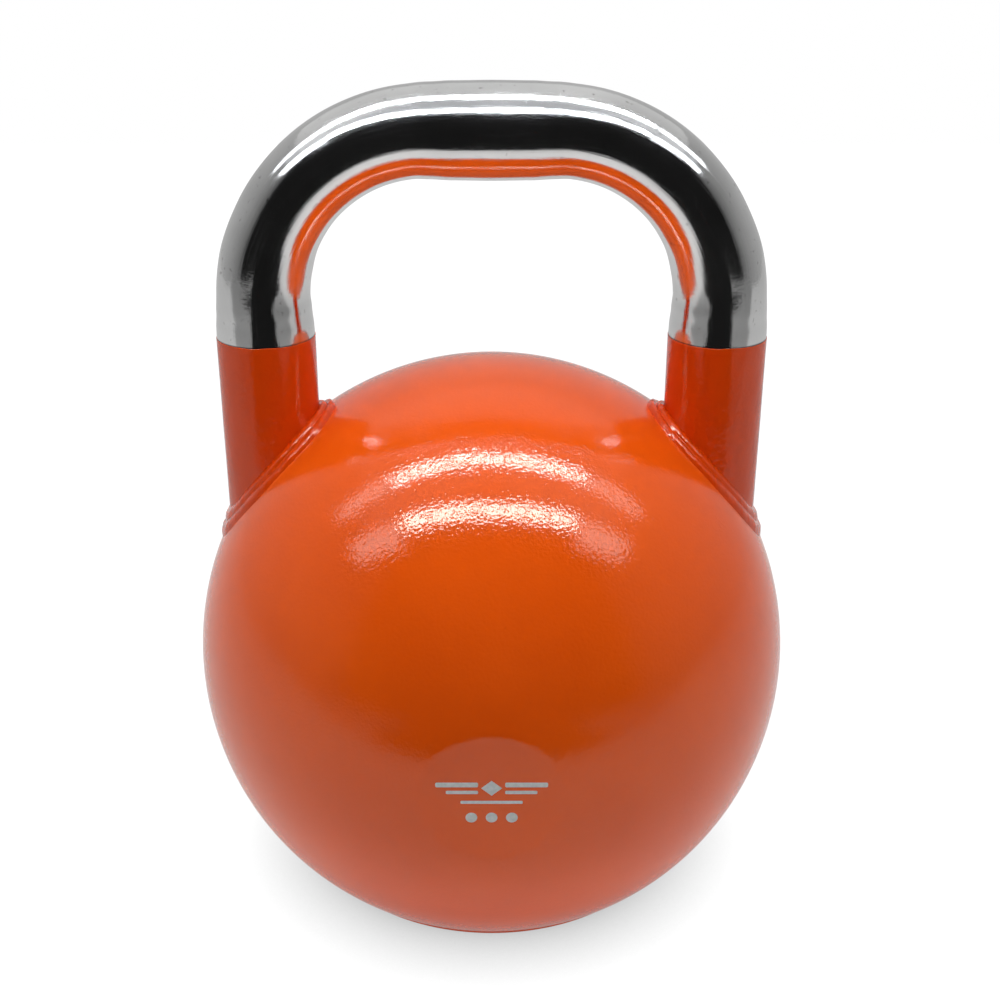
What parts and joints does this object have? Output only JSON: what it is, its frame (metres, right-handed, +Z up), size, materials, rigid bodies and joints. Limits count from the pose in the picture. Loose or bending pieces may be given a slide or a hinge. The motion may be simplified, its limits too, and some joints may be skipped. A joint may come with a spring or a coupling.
{
  "type": "competition kettlebell",
  "caption": "Round steel kettlebell with a flat base, straight painted legs and a bent, polished round handle bar welded to the hollow ball.",
  "frame": {"origin": "centre of the flat base, on the surface that the kettlebell stands on", "axes": "+Z up towards the grip, X along the grip, -Y towards the front flat"},
  "size_m": [0.21, 0.2052, 0.28],
  "materials": {
    "orange_coat": "gloss",
    "polished_steel": "polished",
    "plain_steel": "satin",
    "plug_steel": "satin",
    "seal_rubber": "matte"
  },
  "bodies": {
    "root": {"upper_shell": "orange_coat", "lower_shell": "orange_coat", "seam_weld": "orange_coat", "seam_backing_ring": "plain_steel", "base_plate": "orange_coat", "base_weld": "plain_steel", "handle_bar": "polished_steel", "left_weld_leg_pass": "orange_coat", "left_weld_ball_pass": "orange_coat", "left_inner_weld": "plain_steel", "right_weld_leg_pass": "orange_coat", "right_weld_ball_pass": "orange_coat", "right_inner_weld": "plain_steel", "vent_plug": "plug_steel", "plug_seal": "seal_rubber", "ballast_tube": "plain_steel", "ballast_tube_weld": "plain_steel", "ballast_disc_1": "plain_steel", "ballast_disc_2": "plain_steel", "ballast_disc_3": "plain_steel", "ballast_washer": "plain_steel", "ballast_ring_nut": "plain_steel"}
  },
  "joints": []
}
